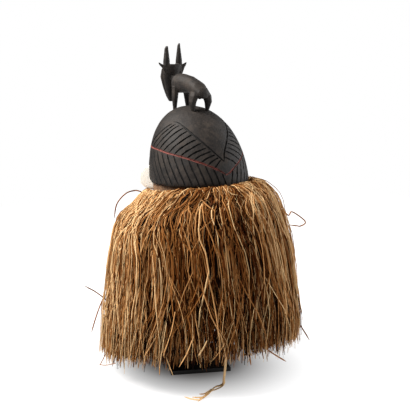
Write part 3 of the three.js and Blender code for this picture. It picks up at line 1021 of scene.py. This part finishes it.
KNOTS = np.linspace(0, 1, len(OUTER_PROFILE))
print("the fringe reaches", OUTER_PROFILE[:, 0].max(), "mm out from the axis")

# %% Places in the fringe
FRONT_DIP_TURN = math.radians(190)
SWING = 7
WIDEST = 262
OVERHANG = 12
LOWEST_END = 5
# Height of the hem by the turn from the middle of the back, where it is shortest, towards +X
HEM_TURNS = (-180, -100, -60, -44, -28, -14, 0, 14, 30, 50, 62, 75, 88, 100, 120, 150, 180)
HEM_HEIGHTS = (38, 48, 78, 84, 96, 100, 106, 104, 100, 102, 92, 80, 66, 56, 52, 40, 38)


def along_profile(depth, share):
    """Profile values at a share of the way down, between the outer (depth 0) and inner (1) ones"""
    fine = np.linspace(0, 1, 120)
    values = []
    for columns in zip(OUTER_PROFILE.T, INNER_PROFILE.T):
        pair = []
        for column in columns:
            padded = np.pad(np.interp(fine, KNOTS, column), 4, mode="reflect", reflect_type="odd")
            pair.append(np.interp(share, fine, np.convolve(padded, np.ones(9) / 9, "valid")))
        values.append(pair[0] * (1 - depth) + pair[1] * depth)
    return values


def hem_height(turn):
    degrees = (np.degrees(turn) + 180) % 360 - 180
    return np.interp(degrees, HEM_TURNS, HEM_HEIGHTS)


def share_at(depth, z):
    """The share of the way down at which a fibre of some depth reaches a height near the hem"""
    low = np.linspace(0.6, 1, 60)
    outer = np.interp(-z, -np.interp(low, KNOTS, OUTER_PROFILE[:, 1]), low)
    inner = np.interp(-z, -np.interp(low, KNOTS, INNER_PROFILE[:, 1]), low)
    return outer * (1 - depth) + inner * depth


def fringe_places(turn, depth, share, push):
    """Points in millimetres, from turns, depths, shares of the way down and pushes outwards"""
    radius, height, slope_y, slope_x, dip = along_profile(depth, share)
    radius = radius + push
    past = np.maximum(radius - WIDEST, 0)
    radius = radius - past + OVERHANG * (1 - np.exp(-past / OVERHANG))
    x, y = radius * np.sin(turn), radius * np.cos(turn)
    front = ramp(np.cos(turn - FRONT_DIP_TURN), 0.5, 0.8)
    swing = SWING * ramp(radius, 222, 245) * ramp(height, 0, 160)
    z = height + slope_y * y + slope_x * x - dip * front
    return np.stack([x - 0.8 * swing, y + 0.6 * swing, z], -1)


print("hem: from", min(HEM_HEIGHTS), "to", max(HEM_HEIGHTS), "mm above the floor")

# %% [markdown]
# ## Flat fibres
#
# Adding thousands of objects one by one would take minutes. So the points of all fibres are worked
# out at once as arrays, three round each station of every path, and a quarter of the fringe becomes
# one mesh. Three sides are enough for a fibre that is only a pixel or two wide.

# %% Fibres as flat tubes
STATIONS = 18


def flat_tubes(paths, widths, flatness, twist):
    """Points and faces of three-sided flat tubes along many paths at once"""
    count, stations = paths.shape[:2]
    forward = np.gradient(paths, axis=1)
    forward /= np.linalg.norm(forward, axis=2)[..., None]
    out = paths * np.array([1.0, 1.0, 0.0])
    out /= np.linalg.norm(out, axis=2)[..., None] + 1e-9
    across = np.cross(forward, out)
    across /= np.linalg.norm(across, axis=2)[..., None] + 1e-9
    up = np.cross(across, forward)
    turned = (twist[:, None] * (1 + 0.8 * np.linspace(0, 1, stations)))[..., None]
    wide = across * np.cos(turned) + up * np.sin(turned)
    thick = up * np.cos(turned) - across * np.sin(turned)
    half = widths[..., None] / 2
    ring = [paths - wide * half, paths + wide * half, paths + thick * half * 2 * flatness[:, None, None]]
    points = np.stack(ring, 2).reshape(-1, 3)
    sides = np.array([(0, 1, 4, 3), (1, 2, 5, 4), (2, 0, 3, 5)])
    quads = np.concatenate([sides + 3 * station for station in range(stations - 1)])
    caps = np.array([(2, 1, 0), (3 * stations - 3, 3 * stations - 2, 3 * stations - 1)])
    base = np.arange(count)[:, None, None] * stations * 3
    return points, (quads + base).reshape(-1, 4).tolist() + (caps + base).reshape(-1, 3).tolist()


def fibre_piece(name, paths, widths, flatness, twist, tones, material):
    points, faces = flat_tubes(paths, widths, flatness, twist)
    mesh = bpy.data.meshes.new(name)
    mesh.from_pydata((points * MM).tolist(), [], faces)
    piece = added(name, mesh)
    piece.data.materials.append(material)
    set_tone(piece, np.repeat(tones, 3))
    outward(piece)
    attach(piece, "root")
    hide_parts("raffia_fringe")
    print(f"{name}: {len(paths)} fibres, {2 * len(faces) - 2 * len(paths)} triangles")


print("points round the path of one fibre:", 3 * STATIONS)

# %% [markdown]
# ## Hanks and loose fibres
#
# Each fibre starts from its hank's turn on the cord. Random draws, one a hank or one a fibre, then
# drift it, swing it out, cross it over its neighbours and cut it off at the uneven hem. Fibres that
# lie deep are painted darker, as painted shade between the outer ones, and the two sides that face
# the lamps are painted paler, as painted light.

# %% Random draws
FIBRES = 7280
HANKS = 118
HANK_OF = np.arange(FIBRES) % HANKS
shaker = np.random.default_rng(7)


def per_fibre(size):
    """A random number for every fibre, as a column"""
    return shaker.normal(0, size, (FIBRES, 1))


def per_hank(size):
    """A random number for every hank, as a column that gives each fibre its hank's"""
    return shaker.normal(0, size, (HANKS, 1))[HANK_OF]


def smooth_wander(count, size, knots=5):
    """Slow random drift along each fibre that starts at nothing"""
    marks = shaker.normal(0, size, (count, knots))
    marks[:, 0] = 0
    share = np.linspace(0, knots - 1, STATIONS)
    low = np.clip(share.astype(int), 0, knots - 2)
    part = share - low
    part = part * part * (3 - 2 * part)
    return marks[:, low] * (1 - part) + marks[:, low + 1] * part


print(f"{FIBRES} fibres in {HANKS} hanks")


# %% Drawing the fibres
LOOSE_SHARE = 0.5
WILD_SHARE = 0.07
# Middle, reach and amount, for the sweep beside the parting and for the sides that face the lamps, painted
# paler as painted light
PARTING = ((math.radians(52), 0.55, 0.30), (math.radians(-22), 0.5, -0.14))
PAINTED_LIGHT_SIDES = ((math.radians(108), 0.3, 0.62), (math.radians(-55), 0.2, 0.37))


def drift_of(turn):
    """How far the fibres sweep aside on either side of the parting"""
    drift = 0 * turn
    for middle, reach, amount in PARTING:
        drift = drift + amount * bump((turn - middle + math.pi) % (2 * math.pi) - math.pi, reach)
    return drift


def fringe_fibres():
    """Each fibre's turn on the cord, and its path, widths and tones from station to station"""
    share = np.linspace(0, 1, STATIONS)
    even = (np.arange(HANKS) + shaker.uniform(0.1, 0.9, HANKS)) * 2 * math.pi / HANKS - math.pi
    all_round = np.linspace(-math.pi, math.pi, 361)
    hank_turn = np.interp(even, all_round + drift_of(all_round), all_round)[HANK_OF, None]
    loose = shaker.random((FIBRES, 1)) < LOOSE_SHARE
    wild = shaker.random((FIBRES, 1)) < WILD_SHARE
    freedom = np.where(wild, 2.0, np.where(loose, 1.0, 0.5))
    depth = shaker.beta(1.25, 1.5, (FIBRES, 1)) * np.where(loose, 0.75, 1.0)

    root = hank_turn + per_fibre(0.035)
    gathered = hank_turn + per_fibre(1) * np.where(loose, 0.05, 0.014)
    gather = 0.9 * ramp(share, 0, 0.3) * (1 - 0.6 * depth)
    turn = root * (1 - gather) + gathered * gather
    turn += drift_of(root) * ramp(share, 0.03, 0.5)
    turn += (smooth_wander(HANKS, 0.044) + smooth_wander(HANKS, 0.024, 9))[HANK_OF]
    turn += freedom * (smooth_wander(FIBRES, 0.056) + smooth_wander(FIBRES, 0.030, 9))
    crossing = per_fibre(1) * np.where(loose, 0.20, 0.04)
    splay = per_fibre(0.070) + per_hank(0.045)
    turn += crossing * share + splay * ramp(share, 0.78, 1)

    push = per_hank(4.5) * ramp(share, 0.1, 0.5)
    roaming = np.minimum(freedom, 1) * (smooth_wander(FIBRES, 3.6) + smooth_wander(FIBRES, 3.0, 9))
    push = push - 7 * bump(share - 0.42, 0.25) + roaming
    push += per_fibre(12) * ramp(share, 0.74, 1)
    push += wild * np.abs(per_fibre(7)) * ramp(share, 0.6, 1)

    scatter = per_fibre(9) + per_hank(9) + 60 * shaker.beta(0.7, 5, (FIBRES, 1))
    end = share_at(depth, np.maximum(hem_height(turn[:, -1:]) + scatter - 8 + 12 * depth, 12))
    paths = fringe_places(turn, depth, share * end, push)
    lift = np.abs(per_fibre(2.2)) * (1 - depth) * np.where(wild, 1.5, 1.0)
    paths[:, :, 2] += lift * bump(share - 0.17, 0.1)
    paths[:, :, 2] = np.maximum(paths[:, :, 2], LOWEST_END)

    width = np.clip(shaker.lognormal(math.log(2.1), 0.3, (FIBRES, 1)), 1.1, 3.7)
    widths = width * (1 + 0.6 * depth + 0.9 * depth**2) * (1 - 0.62 * ramp(share, 0.86, 1.0))
    # Deep fibres are painted darker, as painted shade between the outer ones
    tones = shaker.normal(0.67, 0.24, (FIBRES, 1)) + per_hank(0.13) - 2.0 * depth
    # The sides that face the lamps are painted paler, as painted light
    for middle, reach, amount in PAINTED_LIGHT_SIDES:
        tones += amount * ramp(np.cos(root - middle), reach, 1)
    tones = tones + 0.2 * ramp(share, 0.7, 1)
    return root[:, 0], paths, widths, np.clip(tones, -0.35, 1)


QUARTERS = ["raffia_back_left", "raffia_front_left", "raffia_front_right", "raffia_back_right"]
root_turn, paths, widths, tones = fringe_fibres()
twist = shaker.uniform(-0.9, 0.9, FIBRES)
flatness = shaker.uniform(0.22, 0.5, FIBRES)
quarter = np.argsort(np.argsort(root_turn % (2 * math.pi))) * 4 // FIBRES
for index, name in enumerate(QUARTERS):
    own = quarter == index
    fibre_piece(name, paths[own], widths[own], flatness[own], twist[own], tones[own], raffia_material)

# %% [markdown]
# ## Strays
#
# A few fibres spring free: an arc and some ends at the picture's left, a bent loop and a twig at its
# right, pale ones across the hem, and some that lie on the floor towards the camera. Their routes
# are given one by one and pass through the fringe where they start.

# %% Places of the strays
# Tone, width and the places that each one passes through
STRAYS = [
    (0.45, 3.6, [
        (121, -65, 462), (131, -71, 475), (151, -74, 481), (176, -81, 474), (200, -86, 449),
        (212, -82, 413)]),
    (0.6, 3.6, [(205, -112, 172), (221, -127, 193), (245, -132, 214), (271, -139, 231)]),
    (0.5, 3.6, [(217, -124, 197), (224, -129, 185), (237, -138, 145), (249, -148, 96)]),
    (0.6, 3.6, [
        (-153, 163, 425), (-154, 180, 418), (-156, 190, 430), (-183, 211, 405), (-174, 204, 393),
        (-157, 179, 393)]),
    (0.55, 3.6, [(-168, 172, 170), (-179, 183, 142), (-188, 202, 114), (-198, 221, 84)]),
    (0.6, 3.6, [(-40, 214, 100), (-60, 232, 80), (-88, 252, 58)]),
    (0.6, 3.6, [(16, 225, 130), (12, 228, 82), (10, 230, 63)]),
    (0.9, 3.6, [
        (69, 204, 120), (71, 202, 67), (66, 190, 30), (56, 172, 5), (77, 170, 3), (118, 196, 2.5),
        (169, 220, 2.5)]),
    (0.98, 3.6, [
        (66, 206, 110), (67, 200, 60), (60, 186, 24), (54, 176, 5), (84, 176, 5), (122, 200, 5),
        (150, 208, 3)]),
    (0.95, 3.6, [
        (72, 207, 90), (74, 204, 50), (70, 196, 16), (82, 184, 3), (112, 190, 5), (140, 206, 5),
        (163, 212, 2.5)]),
    (1.0, 3.6, [(118, 196, 4), (140, 205, 4), (158, 214, 3), (171, 197, 3), (176, 175, 2.5)]),
    (0.95, 3.6, [(120, 200, 6), (138, 208, 5), (152, 203, 4), (163, 190, 3)]),
    (0.9, 3.6, [(96, 178, 4), (116, 190, 6), (128, 192, 4), (138, 184, 3)]),
    (0.85, 2.8, [(219, 125, 159), (236, 114, 124), (243, 97, 96)]),
    (0.8, 2.6, [(193, 162, 219), (206, 162, 168), (218, 145, 108)]),
    (0.95, 2.2, [(211, 134, 119), (205, 150, 86), (197, 157, 57)]),
    (0.7, 2.8, [(218, 126, 131), (221, 133, 90), (221, 134, 56)]),
    (0.85, 2.6, [(161, 194, 160), (181, 193, 121), (193, 177, 84)]),
    (0.95, 3.2, [(133, 214, 155), (150, 217, 134), (159, 208, 113)]),
    (0.8, 2.6, [(89, 236, 152), (117, 237, 123), (133, 226, 98)]),
    (0.6, 2.4, [(242, -63, 86), (247, -84, 50), (240, -124, 9)]),
    (0.5, 2.2, [(251, -22, 48), (255, -61, 32), (240, -126, 11)]),
]
STRAY_STATIONS = 24
print("strays:", len(STRAYS))


# %% Routes through the places
def smooth_route(points, count):
    """A smooth curve through given points, as evenly spread stations"""
    points = np.array(points, float)
    padded = np.vstack([2 * points[0] - points[1], points, 2 * points[-1] - points[-2]])
    spots = []
    for position in np.linspace(0, len(points) - 1 - 1e-6, 60):
        i, t = int(position), position % 1
        a, b, c, d = padded[i:i + 4]
        square, cube = 2 * a - 5 * b + 4 * c - d, 3 * b - a - 3 * c + d
        spots.append(0.5 * (2 * b + (c - a) * t + square * t**2 + cube * t**3))
    spots = np.array(spots)
    length = np.concatenate([[0], np.cumsum(np.linalg.norm(np.diff(spots, axis=0), axis=1))])
    even = np.linspace(0, length[-1], count)
    return np.stack([np.interp(even, length, spots[:, axis]) for axis in range(3)], 1)


stray_tones, stray_widths, places = zip(*STRAYS)
routes = np.stack([smooth_route(points, STRAY_STATIONS) for points in places])
stray_tones = np.repeat(stray_tones, STRAY_STATIONS)
stray_widths = np.repeat(stray_widths, STRAY_STATIONS).reshape(-1, STRAY_STATIONS)
stray_widths[:, -4:] *= np.linspace(1, 0.4, 4)
stray_twist = np.linspace(-0.5, 0.5, len(STRAYS))
fibre_piece(
    "raffia_strays", routes, stray_widths, np.full(len(STRAYS), 0.8), stray_twist, stray_tones,
    raffia_material,
)

# %% [markdown]
# ## The stand
#
# The plate, post and rest keep the solids' own shape, which is right as it is, and only get their
# finishes.

# %% Stand finishes
painted = black_paint()
for name, material in (("stand_base", painted), ("stand_post", painted), ("stand_rest", felt())):
    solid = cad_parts[name]
    solid.data.materials.clear()
    solid.data.materials.append(material)
print("stand finished")

# %% [markdown]
# ## Floor and light
#
# The photograph was taken on white with big soft lamps: the brightest from the upper left, weaker
# ones from the right, and white all round. The floor is a flat plane that glows white but for
# painted shadows in its glow round the plate and under the fringe, and the camera sees plain white
# behind it, so that no horizon shows.

# %% White floor
# Painted shadows in the floor's glow: where each shadow's middle lies, how far away it starts and ends to
# fade, and its glow there
FLOOR_PAINTED_SHADOWS = (
    ((0, 0, 0), 0.02, 0.35, (0.015, 0.012, 0.012)),
    ((0, 0.05, 0), 0.06, 0.19, (0.05, 0.045, 0.04)),
)


def white_floor():
    finish = Finish("white_sweep", Specular_IOR_Level=0.1, Emission_Strength=1.0)
    tone = finish.noise(2, 2)
    finish.paint(finish.mix(tone, (0.19, 0.19, 0.195), (0.21, 0.21, 0.212)), 0.9 + 0.05 * tone)
    glow = (1.0, 1.0, 1.0)
    for shift, near, far, dark in FLOOR_PAINTED_SHADOWS:
        moved = finish.node("ShaderNodeVectorMath", {"operation": "ADD"}, {0: finish.place, 1: shift})
        away = finish.node("ShaderNodeVectorMath", {"operation": "LENGTH"}, {0: moved}, output=1)
        # Each painted shadow dims the floor's glow round its middle
        glow = finish.mix(finish.step(away, near, far), dark, glow)
    finish.tree.links.new(glow.socket, finish.shader.inputs["Emission Color"])
    bpy.ops.mesh.primitive_plane_add(size=5, location=(0, 0, 0))
    floor = settled(bpy.context.object, "floor")
    floor.data.materials.append(finish.material)
    print("floor:", [round(side, 2) for side in floor.dimensions], "m")


white_floor()

# %% Lamps and backdrop
ROOM_LIGHT = 0.13
AIM = Vector((0, 0, 0.45))


def soft_lamp(name, turn, height, distance, size, power, tint):
    """A square lamp at a turn from the camera's side, aimed at the middle of the mask"""
    angle = CAMERA_TURN + math.radians(turn)
    place = Vector((math.sin(angle) * distance, math.cos(angle) * distance, height))
    aim = (AIM - place).to_track_quat("-Z", "Y").to_euler()
    bpy.ops.object.light_add(type="AREA", location=place, rotation=aim)
    lamp = bpy.context.object
    lamp.name = name
    lamp.data.shape = "SQUARE"
    lamp.data.size = size
    lamp.data.energy = power
    lamp.data.color = tint
    print(f"{name} lamp: {power} W, {distance} m away")


soft_lamp("key", 80, 3.1, 2.0, 1.7, 330, (1.0, 0.97, 0.93))
soft_lamp("fill", -76, 1.3, 2.6, 1.6, 30, (1.0, 0.97, 0.94))
soft_lamp("rim", -118, 1.3, 2.5, 2.0, 45, (0.96, 0.98, 1.0))
world = bpy.data.worlds.new("white")
bpy.context.scene.world = world
world.use_nodes = True
nodes, links = world.node_tree.nodes, world.node_tree.links
room, backdrop = nodes["Background"], nodes.new("ShaderNodeBackground")
for background in (room, backdrop):
    background.inputs["Color"].default_value = (1, 1, 1, 1)
room.inputs["Strength"].default_value = ROOM_LIGHT
seen = nodes.new("ShaderNodeLightPath")
either = nodes.new("ShaderNodeMixShader")
links.new(seen.outputs["Is Camera Ray"], either.inputs["Fac"])
links.new(room.outputs["Background"], either.inputs[1])
links.new(backdrop.outputs["Background"], either.inputs[2])
links.new(either.outputs["Shader"], nodes["World Output"].inputs["Surface"])
bpy.context.scene.view_settings.view_transform = "Standard"
